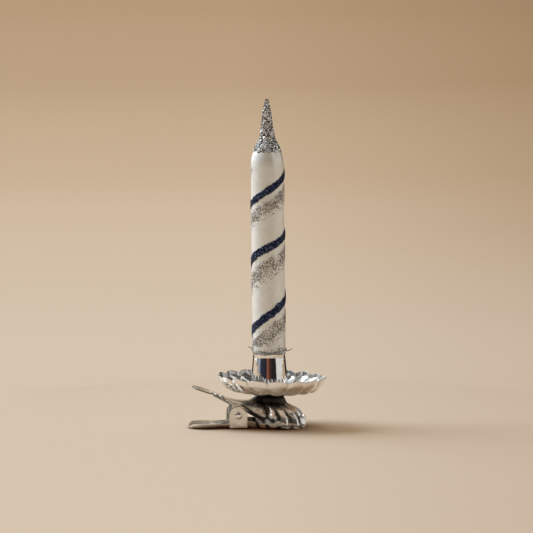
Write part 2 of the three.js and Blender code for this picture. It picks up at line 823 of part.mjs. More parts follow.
const candle = new THREE.Group();
candle.add(
  piece("lower_jaw", lowerJaw(), brightTin),
  piece("upper_jaw", upperJaw(), brightTin),
  piece("hinge_pin", hingePin(), brightTin),
  piece("torsion_spring", torsionSpring(lowerLegZ, upperLegZ), springWire),
  piece("drip_pan", dripPan(), brightTin),
  piece("cup_rivet", cupRivet(), brightTin),
  leaning,
);

export default candle;
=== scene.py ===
import math
from functools import reduce
from types import SimpleNamespace

import bmesh
import bpy
import numpy as np
from mathutils import Matrix, Vector


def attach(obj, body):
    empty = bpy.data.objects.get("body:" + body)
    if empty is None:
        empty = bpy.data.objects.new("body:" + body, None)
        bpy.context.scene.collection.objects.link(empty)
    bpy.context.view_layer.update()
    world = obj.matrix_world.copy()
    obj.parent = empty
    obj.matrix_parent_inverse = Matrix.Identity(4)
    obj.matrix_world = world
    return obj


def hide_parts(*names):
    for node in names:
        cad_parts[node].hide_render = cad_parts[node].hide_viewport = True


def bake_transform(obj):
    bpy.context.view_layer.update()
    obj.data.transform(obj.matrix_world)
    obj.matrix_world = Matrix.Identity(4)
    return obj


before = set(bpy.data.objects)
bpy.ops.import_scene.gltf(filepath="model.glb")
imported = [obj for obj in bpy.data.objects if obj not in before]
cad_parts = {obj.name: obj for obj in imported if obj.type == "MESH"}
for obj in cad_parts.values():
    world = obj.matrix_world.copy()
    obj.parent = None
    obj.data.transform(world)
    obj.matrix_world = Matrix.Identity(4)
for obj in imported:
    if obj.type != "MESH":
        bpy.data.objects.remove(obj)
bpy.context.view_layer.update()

mm = 0.001
degree = math.pi / 180
fullTurn = 2 * math.pi
upper = "upper_clip"
lower = "lower_clip"

# Sizes in millimetres, the same as the CAD model's
stack = dict(panFloor=12.225, cupFloor=12.725, lean=0.55)
hinge = dict(x=-12.75, z=5.2, pinRadius=0.9, headRadius=1.45, headHeight=0.6)
fan = dict(x=1.3, reach=13.2, halfWidth=11.6, fluteAngle=24, flankFlute=4.6, spineStart=-5)


# Helpers

def lerp(a, b, t):
    return a + (b - a) * t


def smooth(x, low, high):
    t = np.clip((np.asarray(x, float) - low) / (high - low), 0, 1)
    return t * t * (3 - 2 * t)


# 1 between the middle two values, fading to 0 at the outer two
def band(x, start, full, fade, end):
    return smooth(x, start, full) * (1 - smooth(x, fade, end))


def most(*masks):
    return reduce(np.maximum, masks)


# Smooth curve through (x, value) pairs that never overshoots them
def eased(table, x):
    xs, ys = np.array(table, float).T
    step = np.diff(xs)
    slope = np.diff(ys) / step
    tangent = np.concatenate(([slope[0]], np.zeros(len(xs) - 2), [slope[-1]]))
    for i in range(1, len(xs) - 1):
        if slope[i - 1] * slope[i] > 0:
            a, b = 2 * step[i] + step[i - 1], step[i] + 2 * step[i - 1]
            tangent[i] = (a + b) / (a / slope[i - 1] + b / slope[i])
    x = np.clip(x, xs[0], xs[-1])
    i = np.clip(np.searchsorted(xs, x) - 1, 0, len(xs) - 2)
    t = (x - xs[i]) / step[i]
    low = (1 + 2 * t) * (1 - t) ** 2 * ys[i] + t * (1 - t) ** 2 * step[i] * tangent[i]
    return low + t * t * (3 - 2 * t) * ys[i + 1] + t * t * (t - 1) * step[i] * tangent[i + 1]


def runAlong(points):
    return np.concatenate(([0], np.cumsum(np.linalg.norm(np.diff(points, axis=0), axis=1))))


# The two columns of a line of points, smoothed at even steps along it
def resampled(points, count):
    run = runAlong(points)
    at = np.linspace(0, run[-1], count)[:, None]
    return [eased(np.column_stack((run, points[:, k])), at) for k in (0, 1)]


def roundTurn(count):
    return np.linspace(0, fullTurn, count, endpoint=False)


# Grid of points from radii, angles and heights
def polar(r, angle, z):
    return np.stack(np.broadcast_arrays(r * np.cos(angle), r * np.sin(angle), z), 2)


# Soft pseudo-random waves over two coordinates, the same each run
def ripple(u, v, scale, seed, count=7):
    rng = np.random.default_rng(seed)
    total = np.zeros(np.broadcast(u, v).shape)
    for _ in range(count):
        angle, phase, pitch = rng.uniform(0, fullTurn, 2).tolist() + [rng.uniform(0.6, 1.6)]
        total += np.sin(pitch * scale * (u * math.cos(angle) + v * math.sin(angle)) + phase)
    return total / count


def addObject(name, data):
    obj = bpy.data.objects.new(name, data)
    bpy.context.scene.collection.objects.link(obj)
    return obj


def makeObject(name, points, faces):
    mesh = bpy.data.meshes.new(name)
    mesh.from_pydata((np.asarray(points, float).reshape(-1, 3) * mm).tolist(), [], faces)
    return addObject(name, mesh)


def weld(obj, distance=0.002):
    work = bmesh.new()
    work.from_mesh(obj.data)
    bmesh.ops.remove_doubles(work, verts=work.verts, dist=distance * mm)
    bmesh.ops.dissolve_degenerate(work, edges=work.edges, dist=distance * mm * 0.5)
    bmesh.ops.recalc_face_normals(work, faces=work.faces)
    work.to_mesh(obj.data)
    work.free()


# Quads over a grid of points: rows along the first index, columns along the second
def gridFaces(rows, columns, closeRows=False, closeColumns=False):
    faces = []
    for i in range(rows if closeRows else rows - 1):
        for j in range(columns if closeColumns else columns - 1):
            k, m = (i + 1) % rows, (j + 1) % columns
            faces.append((i * columns + j, k * columns + j, k * columns + m, i * columns + m))
    return faces


def gridObject(name, points, masks={}, **closed):
    points = np.asarray(points, float)
    obj = makeObject(name, points, gridFaces(points.shape[0], points.shape[1], **closed))
    for label, values in masks.items():
        storeMask(obj, label, np.broadcast_to(values, points.shape[:2]))
    weld(obj)
    return obj


def storeMask(obj, label, values):
    layer = obj.data.attributes.get(label) or obj.data.attributes.new(label, "FLOAT", "POINT")
    layer.data.foreach_set("value", np.clip(values, 0, 1).astype(np.float32).ravel())


def readMask(obj, label):
    values = np.zeros(len(obj.data.vertices), np.float32)
    obj.data.attributes[label].data.foreach_get("value", values)
    return values


def applied(obj):
    graph = bpy.context.evaluated_depsgraph_get()
    fresh = bpy.data.meshes.new_from_object(obj.evaluated_get(graph))
    old = obj.data
    obj.modifiers.clear()
    obj.data = fresh
    bpy.data.meshes.remove(old)
    fresh.name = obj.name
    return obj


def smoothShade(obj):
    obj.data.polygons.foreach_set("use_smooth", [True] * len(obj.data.polygons))
    obj.data.update()
    return obj


# Sheet metal: gives a mid-surface its thickness and rounds the cut edges
def pressSheet(obj, thickness, edge=0.1):
    solid = obj.modifiers.new("sheet", "SOLIDIFY")
    solid.thickness = thickness * mm
    solid.offset = 0
    solid.use_even_offset = True
    softened = obj.modifiers.new("edge", "BEVEL")
    softened.width = edge * mm
    softened.segments = 2
    softened.limit_method = "ANGLE"
    softened.angle_limit = 62 * degree
    return smoothShade(applied(obj))


# Body turned about the Z axis from (radius, z) pairs that close on themselves or on the axis
def turned(name, profile, sides):
    profile = np.array(profile, float)
    return smoothShade(gridObject(name, polar(profile[:, :1], roundTurn(sides), profile[:, 1:]), closeColumns=True))


# Round bar along a path
def tube(name, path, radius, sides=12):
    path = np.array(path, float)
    along = np.gradient(path, axis=0)
    along /= np.linalg.norm(along, axis=1)[:, None]
    across = np.cross(along[0], [0, 0, 1])
    angle = roundTurn(sides)[:, None]
    rings = []
    for point, way in zip(path, along):
        across = across - way * (across @ way)
        across /= np.linalg.norm(across)
        rings.append(point + radius * (np.cos(angle) * across + np.sin(angle) * np.cross(way, across)))
    cap = [np.repeat(path[:1] - along[:1] * radius * 0.3, sides, 0)]
    end = [np.repeat(path[-1:] + along[-1:] * radius * 0.3, sides, 0)]
    return smoothShade(gridObject(name, np.array(cap + rings + end), closeColumns=True))


# The cup and all that it holds lean a little
leanMatrix = (Matrix.Translation((0, 0, stack["cupFloor"] * mm))
              @ Matrix.Rotation(-stack["lean"] * degree, 4, "Y")
              @ Matrix.Translation((0, 0, -stack["cupFloor"] * mm)))


def leaning(obj):
    obj.data.transform(leanMatrix)
    return obj


# Turns what lies flat, or stands on the Z axis, to face along Y, and puts it at a place in millimetres
def facingY(x, y, z):
    return Matrix.Translation((x * mm, y * mm, z * mm)) @ Matrix.Rotation(math.pi / 2, 4, "X")


def finished(obj, body, slot, skin, *nodes):
    obj.data.materials.clear()
    obj.data.materials.append(skin)
    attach(obj, body)
    if nodes:
        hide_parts(*nodes)
    return obj


# Shader helpers

def newGroup(name, inputs, outputs):
    tree = bpy.data.node_groups.new(name, "ShaderNodeTree")
    for label, value in inputs:
        tree.interface.new_socket(name=label, in_out="INPUT", socket_type="NodeSocketFloat").default_value = value
    for label in outputs:
        tree.interface.new_socket(name=label, in_out="OUTPUT", socket_type="NodeSocketFloat")
    return tree, tree.nodes.new("NodeGroupInput"), tree.nodes.new("NodeGroupOutput")


def addNode(tree, kind, **values):
    node = tree.nodes.new(kind)
    for key, value in values.items():
        setattr(node, key, value)
    return node


# Links a socket to another one, or gives it a number or a colour
def feed(tree, socket, value):
    if isinstance(value, bpy.types.NodeSocket):
        tree.links.new(value, socket)
    else:
        socket.default_value = (*value, 1) if isinstance(value, tuple) else value


def feedAll(tree, node, values):
    for label, value in values.items():
        feed(tree, node.inputs[label], value)
    return node


def fedNode(tree, kind, values, **settings):
    return feedAll(tree, addNode(tree, kind, **settings), values).outputs


def mathNode(tree, operation, a, b=0.0):
    return fedNode(tree, "ShaderNodeMath", {0: a, 1: b}, operation=operation)[0]


def plus(tree, a, b):
    return mathNode(tree, "ADD", a, b)


def times(tree, a, b):
    return mathNode(tree, "MULTIPLY", a, b)


def placeNode(tree):
    return addNode(tree, "ShaderNodeTexCoord").outputs["Object"]


def maskNode(tree, label):
    return addNode(tree, "ShaderNodeAttribute", attribute_name=label).outputs["Fac"]


def noiseNode(tree, vector, scale, detail, roughness):
    return fedNode(tree, "ShaderNodeTexNoise",
                   dict(Vector=vector, Scale=scale, Detail=detail, Roughness=roughness))["Fac"]


def rangeNode(tree, value, low, high, to0=0.0, to1=1.0, soft=True):
    limits = {"Value": value, "From Min": low, "From Max": high, "To Min": to0, "To Max": to1}
    kind = "SMOOTHSTEP" if soft else "LINEAR"
    return fedNode(tree, "ShaderNodeMapRange", limits, interpolation_type=kind)["Result"]


def mixColour(tree, factor, a, b, blend="MIX"):
    return fedNode(tree, "ShaderNodeMix", {0: factor, 6: a, 7: b}, data_type="RGBA", blend_type=blend)[2]


# One tone after another over a first colour, each by its own share
def layered(tree, colour, *layers):
    for share, tone in layers:
        colour = mixColour(tree, share, colour, tone)
    return colour


def rampNode(tree, value, stops):
    ramp = addNode(tree, "ShaderNodeValToRGB")
    while len(ramp.color_ramp.elements) < len(stops):
        ramp.color_ramp.elements.new(0.5)
    for element, (at, colour) in zip(ramp.color_ramp.elements, stops):
        element.position = at
        element.color = (*colour, 1)
    tree.links.new(value, ramp.inputs["Fac"])
    return ramp.outputs["Color"]


# Handled tin: clouds of dulled metal, fine pits, and the pulled lines of the press
def tarnishGroup():
    tree, start, end = newGroup("tarnish", [("Size", 300.0)], ["Cloud", "Pits", "Lines"])
    place, size = placeNode(tree), start.outputs["Size"]
    stretch = addNode(tree, "ShaderNodeMapping")
    stretch.inputs["Scale"].default_value = (0.12, 1.0, 1.0)
    tree.links.new(place, stretch.inputs["Vector"])
    cloud = noiseNode(tree, place, size, 5, 0.62)
    pits = noiseNode(tree, place, times(tree, size, 9.0), 2, 0.5)
    lines = noiseNode(tree, stretch.outputs["Vector"], times(tree, size, 7.0), 2, 0.5)
    feedAll(tree, end, dict(Cloud=rangeNode(tree, cloud, 0.42, 0.72), Pits=rangeNode(tree, pits, 0.58, 0.72),
                            Lines=lines))
    return tree


# Painted shade: dark where the metal is folded sharply inwards
def foldGroup():
    tree, start, end = newGroup("folds", [("Sharp", 0.06)], ["Fold"])
    point = addNode(tree, "ShaderNodeNewGeometry").outputs["Pointiness"]
    sharpest = mathNode(tree, "SUBTRACT", 0.5, start.outputs["Sharp"])
    feed(tree, end.inputs["Fold"], rangeNode(tree, point, 0.5, sharpest, soft=False))
    return tree


tarnish = tarnishGroup()
folds = foldGroup()


def newMaterial(name):
    skin = bpy.data.materials.new(name)
    skin.use_nodes = True
    tree = skin.node_tree
    return skin, tree, tree.nodes["Principled BSDF"]


def bumped(tree, shader, height, strength, distance):
    bump = fedNode(tree, "ShaderNodeBump", dict(Height=height, Strength=strength, Distance=distance))
    feed(tree, shader.inputs["Normal"], bump["Normal"])


# Pressed metal: the mesh's own masks say where a highlight is painted, where it is paler, partly as painted light,
# and where shade is painted
metalTarnishAndPaintedLight = dict(worn=(0.95, 0.94, 0.93), pale=(0.74, 0.70, 0.61), soil=(0.018, 0.016, 0.015), cloudShare=0.45,
                 foldShare=0.5, foldDark=0.45, paleShare=0.8, soilShare=0.97, paleDulls=0.5, paleRough=0.15,
                 soilRough=0.2, wornSmooth=0.35, waveSize=170, lineHeight=0.015, pitDepth=0.008, reliefHeight=0.0012)


def metalSkin(name, bright, dull, roughness, cloudSize, dent, metallic=1.0, clouding=0.13):
    w = SimpleNamespace(**metalTarnishAndPaintedLight)
    skin, tree, shader = newMaterial(name)
    cloud, pits, lines = fedNode(tree, "ShaderNodeGroup", dict(Size=cloudSize), node_tree=tarnish)
    fold = fedNode(tree, "ShaderNodeGroup", dict(Sharp=0.05), node_tree=folds)["Fold"]
    worn, pale, soil = (maskNode(tree, label) for label in ("worn", "pale", "soil"))
    # Over the tarnish: painted shade in sharp folds, then the painted highlight, the paler tone and the painted
    # shade of the masks
    colour = layered(tree, bright, (times(tree, cloud, w.cloudShare), dull),
                     (times(tree, fold, w.foldShare), tuple(c * w.foldDark for c in dull)), (worn, w.worn),
                     (times(tree, pale, w.paleShare), w.pale), (times(tree, soil, w.soilShare), w.soil))
    rough = plus(tree, roughness, times(tree, plus(tree, cloud, pits), clouding))
    rough = plus(tree, rough, times(tree, soil, w.soilRough))
    rough = times(tree, rough, rangeNode(tree, worn, 0, 1, 1, w.wornSmooth))
    feedAll(tree, shader, {"Base Color": colour, "Roughness": plus(tree, rough, times(tree, pale, w.paleRough)),
                           "Metallic": mathNode(tree, "SUBTRACT", metallic, times(tree, pale, w.paleDulls))})
    height = plus(tree, noiseNode(tree, placeNode(tree), w.waveSize, 2, 0.45), times(tree, lines, w.lineHeight))
    height = mathNode(tree, "SUBTRACT", height, times(tree, pits, w.pitDepth))
    bumped(tree, shader, height, dent, w.reliefHeight)
    return skin


tin = metalSkin("bright_tin", (0.93, 0.92, 0.90), (0.72, 0.68, 0.61), 0.06, 240.0, 0.25)
jawTin = metalSkin("jaw_tin", (0.80, 0.78, 0.73), (0.40, 0.36, 0.30), 0.11, 260.0, 0.3, 0.85)
tinCup = metalSkin("cup_tin", (0.93, 0.92, 0.90), (0.78, 0.74, 0.68), 0.03, 260.0, 0.07, clouding=0.02)
steelWire = metalSkin("spring_wire", (0.50, 0.49, 0.48), (0.30, 0.27, 0.24), 0.2, 700.0, 0.1)
tinselWire = metalSkin("tinsel_metal", (0.55, 0.53, 0.5), (0.3, 0.27, 0.22), 0.25, 900.0, 0.1)


def cementSkin():
    skin, tree, shader = newMaterial("cement")
    grain = noiseNode(tree, placeNode(tree), 1500, 4, 0.7)
    colour = mixColour(tree, grain, (0.66, 0.61, 0.52), (0.86, 0.83, 0.76))
    feedAll(tree, shader, {"Base Color": colour, "Roughness": 0.85})
    bumped(tree, shader, grain, 0.6, 0.0002)
    return skin


# Satin lacquer on silvered glass. The stripes' glue and the glittered tip are tinted by the mesh's own masks.
satin = dict(hazy=(0.85, 0.905, 0.935), clear=(0.925, 0.975, 0.995), silver=(0.5, 0.49, 0.47), tip=(0.3, 0.3, 0.3),
             navy=(0.008, 0.012, 0.035), silverShare=0.45, metallic=0.5, roughness=0.33)


def glassSkin():
    s = SimpleNamespace(**satin)
    skin, tree, shader = newMaterial("satin_glass")
    place = placeNode(tree)
    mottle = noiseNode(tree, place, 420, 4, 0.6)
    grain = noiseNode(tree, place, 2600, 2, 0.5)
    navy, silver, tip = (maskNode(tree, label) for label in ("navy", "silver", "tip"))
    colour = layered(tree, mixColour(tree, rangeNode(tree, mottle, 0.35, 0.7), s.hazy, s.clear),
                     (times(tree, silver, s.silverShare), s.silver), (tip, s.tip), (navy, s.navy))
    rough = plus(tree, s.roughness, times(tree, mottle, 0.1))
    rough = plus(tree, rough, times(tree, mathNode(tree, "MAXIMUM", navy, tip), 0.15))
    feedAll(tree, shader, {"Base Color": colour, "Metallic": s.metallic, "Roughness": rough})
    bumped(tree, shader, plus(tree, times(tree, mottle, 0.5), grain), 0.18, 0.0001)
    return skin


# Flakes of metal foil: each has its own brightness from the tint stored on it
def flakeSkin(name, stops, roughness, metallic):
    skin, tree, shader = newMaterial(name)
    tint = maskNode(tree, "tint")
    feedAll(tree, shader, {"Base Color": rampNode(tree, tint, stops), "Metallic": metallic,
                           "Roughness": plus(tree, roughness, times(tree, tint, 0.15))})
    return skin


satinGlass = glassSkin()
navyFoil = flakeSkin("navy_foil", [(0, (0.004, 0.006, 0.018)), (0.55, (0.013, 0.022, 0.07)),
                                   (0.85, (0.05, 0.08, 0.2)), (1, (0.35, 0.42, 0.6))], 0.24, 0.85)
silverFoil = flakeSkin("silver_foil", [(0, (0.04, 0.04, 0.04)), (0.4, (0.22, 0.21, 0.2)),
                                       (0.6, (0.8, 0.79, 0.77)), (1, (0.98, 0.98, 0.97))], 0.18, 0.7)
tipFoil = flakeSkin("tip_foil", [(0, (0.01, 0.01, 0.01)), (0.38, (0.04, 0.04, 0.05)),
                                 (0.46, (0.88, 0.91, 0.95)), (1, (0.97, 0.99, 1.0))], 0.12, 0.8)
print("materials made")


# Drip pan

pan = dict(sheet=0.35, hole=2.15, seatRadius=5.2, footRadius=16.2, footRise=1.95, rimRadius=20.6, rimRise=7.1,
           lobes=16, lobeDepth=1.5, scallop=0.9, turn=11, offset=0.95, tilt=1.6)


def makePan():
    p = SimpleNamespace(**pan)

    def foot(share, rise):
        return lerp(p.seatRadius, p.footRadius, share), p.footRise * rise

    def wall(share, rise):
        return lerp(p.footRadius, p.rimRadius, share), lerp(p.footRise, p.rimRise, rise)

    radius, rise = resampled(np.array([(p.hole, 0), (p.seatRadius, 0), foot(0.18, 0.22), foot(0.66, 0.7), foot(1, 1),
                                       wall(0.31, 0.16), wall(0.65, 0.42), wall(0.9, 0.68), wall(1, 1)]), 56)
    phase = np.linspace(0, p.lobes, p.lobes * 20, endpoint=False)
    angle = p.turn * degree + phase / p.lobes * fullTurn
    bulge = np.abs(np.sin(phase * math.pi)) ** 0.8
    fluted = smooth(radius, p.seatRadius + 2, p.footRadius + 1.5)
    atRim = smooth(radius, p.footRadius, p.rimRadius)
    askew = smooth(radius, p.seatRadius, p.footRadius)
    out = fluted * p.lobeDepth * (bulge - 0.6)
    r = radius + out * lerp(0.35, 0.8, atRim) + 0.1 * fluted * ripple(angle * 9, radius, 0.5, 3)
    z = rise - out * lerp(0.45, 0, atRim) + atRim * p.scallop * (bulge - 0.6)
    z = z + 0.08 * fluted * ripple(angle * 9, radius, 0.45, 4)
    points = polar(r, angle, stack["panFloor"] + p.sheet / 2 + z)
    points[..., 2] -= askew * points[..., 0] * math.sin(p.tilt * degree)
    points[..., 0] += askew * p.offset
    # Painted highlights along the creases and painted light on the lower outer wall; painted shade round the seat
    # underneath
    crease = (1 - smooth(bulge, 0.1, 0.5)) * smooth(r, p.footRadius - 2.5, p.footRadius)
    low = (1 - smooth(atRim, 0.25, 0.75)) * smooth(r, p.footRadius - 1.5, p.footRadius + 1)
    masks = dict(soil=(1 - smooth(r, 7.5, 12)) * 0.97, pale=most(0.85 * crease, 0.75 * low))
    obj = pressSheet(gridObject("drip_pan_metal", points, masks, closeColumns=True), p.sheet, 0.09)
    # On the inner side the painted shade is an even 0.4, and nothing is paler
    below = np.array([v.normal.z < 0 for v in obj.data.vertices])
    for label, above in (("soil", 0.4), ("pale", 0)):
        storeMask(obj, label, np.where(below, readMask(obj, label), above))
    return obj


finished(makePan(), upper, "tin", tin, "drip_pan")
print("drip pan made")


# Candle cup, with a cut edge that was never trimmed even

cup = dict(sheet=0.35, height=15.95, baseRadius=5, footRadius=7.25, rimRadius=6.2, bore=2.15)


def makeCup():
    c = SimpleNamespace(**cup)
    taper = [(z, lerp(c.footRadius, c.rimRadius, share)) for z, share in ((6, 0.27), (10, 0.58), (13.5, 0.88))]
    z, r = resampled(np.array([(0, c.bore), (0, c.baseRadius), (0.25, c.baseRadius + 0.7), (0.7, c.baseRadius + 1.1),
                               (1.7, c.footRadius - 0.3), (2.6, c.footRadius), *taper, (c.height - 1.3, c.rimRadius),
                               (c.height - 0.6, c.rimRadius), (c.height, c.rimRadius + 0.12)]), 70)
    angle = roundTurn(144)
    ragged = 0.22 * ripple(angle * 3.2, 0, 2.4, 8) - 0.16 * np.abs(np.sin(angle * 4.5 + 0.6))
    nearTop = smooth(z, c.height - 2.2, c.height)
    r = r - c.sheet / 2 + 0.06 * nearTop * ripple(angle * 4, z, 1.1, 9)
    z = stack["cupFloor"] + z + c.sheet / 2 * (1 - smooth(z, 0.2, 1.5)) + nearTop * ragged
    return leaning(pressSheet(gridObject("cup_metal", polar(r, angle, z), closeColumns=True), c.sheet, 0.09))


finished(makeCup(), upper, "tin", tinCup, "candle_cup")
print("cup made")


# Rivet through cup, pan and jaw

rivet = dict(radius=1.9, bore=1.4, head=3.1, headHeight=0.45, seat=13.225, clench=11.475)


def makeRivet():
    v = SimpleNamespace(**rivet)
    top, low = v.seat, v.clench
    curl = [(v.head, top), (v.head - 0.05, top + 0.2), (v.head - 0.35, top + 0.4),
            (v.radius + 0.1, top + v.headHeight), (v.bore + 0.1, top + 0.35), (v.bore, top + 0.1)]
    foot = [(v.bore, low - 0.05), (v.bore + 0.15, low - 0.3), (v.radius + 0.3, low - v.headHeight),
            (v.head - 0.45, low - 0.3), (v.head - 0.3, low), (v.radius, low)]
    return turned("rivet_metal", [(v.radius, top), *curl, *foot, (v.radius, top)], 48)


finished(makeRivet(), upper, "tin", tin, "cup_rivet")


# Jaws

# Smooth line in the plane from knot to knot
def splinePoints(knots, count=400):
    knots = np.array(knots, float)
    last = len(knots) - 1
    t = np.linspace(0, last, count)
    i = np.minimum(t.astype(int), last - 1)
    w = (t - i)[:, None]
    p0, p1, p2, p3 = (knots[np.clip(i + k, 0, last)] for k in (-1, 0, 1, 2))
    v0, v1 = (p2 - p0) / 2, (p3 - p1) / 2
    return (2 * p1 - 2 * p2 + v0 + v1) * w ** 3 + (-3 * p1 + 3 * p2 - 2 * v0 - v1) * w ** 2 + v0 * w + p1


# Half of a jaw's plan as rays from the spine to the outline, then mirrored: their starts, ends and flute phases
def jawRays(flank, hole, count):
    f = SimpleNamespace(**fan)
    fanAngle = np.arange(0, 90, 1.25)
    spread = np.column_stack((np.cos(fanAngle * degree), np.sin(fanAngle * degree)))
    side = splinePoints(flank)
    run = runAlong(side)
    at = np.linspace(0, 1, count) * run[-1]
    end = np.column_stack([np.interp(at, run, side[:, k]) for k in (0, 1)])
    turn = np.clip((f.x - end[:, 0]) / (f.x - f.spineStart), 0, 1)
    angle = lerp(90, 180, turn) * degree
    start = np.column_stack((np.cos(angle), np.sin(angle))) * hole
    onSpine = turn >= 1
    leverFrom = end[onSpine][0, 0]
    reach = (leverFrom - end[:, 0]) / (leverFrom - hinge["x"])
    x = np.where(end[:, 0] < hinge["x"], np.maximum(end[:, 0], flank[-1][0] + 2), lerp(-hole, hinge["x"], reach))
    start[onSpine] = np.column_stack((x, 0 * x))[onSpine]
    starts = np.vstack((spread * hole, start))
    ends = np.vstack((np.array([f.x, 0]) + spread * np.array([f.reach, f.halfWidth]), end))
    phases = np.concatenate((fanAngle / f.fluteAngle, 90 / f.fluteAngle + at / f.flankFlute))
    flip = np.array([1, -1])
    return (np.vstack((starts, starts[-2:0:-1] * flip)), np.vstack((ends, ends[-2:0:-1] * flip)),
            np.concatenate((phases, phases[-2:0:-1])))


# A jaw's sheet over its rays. Its marks tell where shade and highlights are painted on it and where it is paler.
def jawSurface(name, jaw, rays, steps, spineZ, rimZ, fall, marks):
    start, end, phase = rays
    fluted = phase < math.ceil(90 / fan["fluteAngle"]) + jaw.flankFlutes
    deep = np.where(fluted, 0.5 - 0.5 * np.cos(phase * fullTurn), 0)[:, None]
    channel = deep ** jaw.fluteSharp
    reach = end - start
    outward = reach / np.linalg.norm(reach, axis=1)[:, None]
    inward = jaw.fluteDepth * channel * smooth(steps, jaw.fluteFrom, jaw.fluteTo)
    plan = start[:, None] + reach[:, None] * steps[:, None] - outward[:, None] * inward[..., None]
    rim = rimZ(end[:, 0])[:, None]
    z = lerp(spineZ(start[:, 0])[:, None], rim, eased(fall, steps))
    z = z - jaw.sink * channel * band(steps, 0.34, 0.6, 0.75, 1) + jaw.lift * channel * smooth(steps, 0.85, 1)
    # Painted shade lies in the channels, and painted highlights lie on the ridges of the fan
    at = SimpleNamespace(x=end[:, :1], startX=start[:, :1], around=np.hypot(plan[..., 0], plan[..., 1]),
                         above=z - rim, steps=steps)
    soil = 0.95 * smooth(deep, 0.45, 0.85) * smooth(steps, 0.5, 0.8)
    worn = smooth(at.x, -2, 1) * fluted[:, None] * (1 - smooth(deep, 0.2, 0.6)) * smooth(steps, 0.45, 0.7)
    return gridObject(name, np.concatenate((plan, z[..., None]), 2), marks(at, soil, worn), closeRows=True)


# Points round the hinge's axis, as (x, z)
def roundHinge(radius, angles):
    return [(hinge["x"] + radius * math.cos(a), hinge["z"] + radius * math.sin(a)) for a in angles]


# A pair of pierced ears with softened edges
def makeEars(name, outline, earY, thickness, holeRadius):
    sheet = bpy.data.curves.new(name, "CURVE")
    sheet.dimensions = "2D"
    sheet.fill_mode = "BOTH"
    rounding = 0.07
    sheet.extrude = (thickness / 2 - rounding) * mm
    sheet.bevel_depth = rounding * mm
    sheet.bevel_resolution = 2
    ring = roundHinge(holeRadius, roundTurn(40))
    for loop in (outline, ring):
        spline = sheet.splines.new("POLY")
        spline.points.add(len(loop) - 1)
        for point, (x, z) in zip(spline.points, loop):
            point.co = (x * mm, z * mm, 0, 1)
        spline.use_cyclic_u = True
    holder = addObject(name, sheet)
    graph = bpy.context.evaluated_depsgraph_get()
    plate = bpy.data.meshes.new_from_object(holder.evaluated_get(graph))
    bpy.data.objects.remove(holder)
    work = bmesh.new()
    for side in (1, -1):
        copy = plate.copy()
        copy.transform(facingY(0, side * earY, 0))
        work.from_mesh(copy)
        bpy.data.meshes.remove(copy)
    bmesh.ops.remove_doubles(work, verts=work.verts, dist=1e-6)
    bmesh.ops.recalc_face_normals(work, faces=work.faces)
    mesh = bpy.data.meshes.new(name)
    work.to_mesh(mesh)
    work.free()
    obj = addObject(name, mesh)
    mesh.polygons.foreach_set("use_smooth", [abs(face.normal.y) < 0.98 for face in mesh.polygons])
    return obj


upperJaw = dict(sheet=0.45, endX=-30.2, thumbZ=16.1, ribsStart=-23.4, ribsEnd=-17.6, ribs=3, ribHeight=0.32,
                crown=0.15, seatZ=11.85, waist=5.6, paddle=6.3, sideZ=2.6, tipZ=0.75, fluteDepth=1.6,
                fluteFrom=0.34, fluteTo=0.85, fluteSharp=0.75, flankFlutes=1, sink=0.9, lift=1.0, earY=5.25,
                earRadius=2.6)


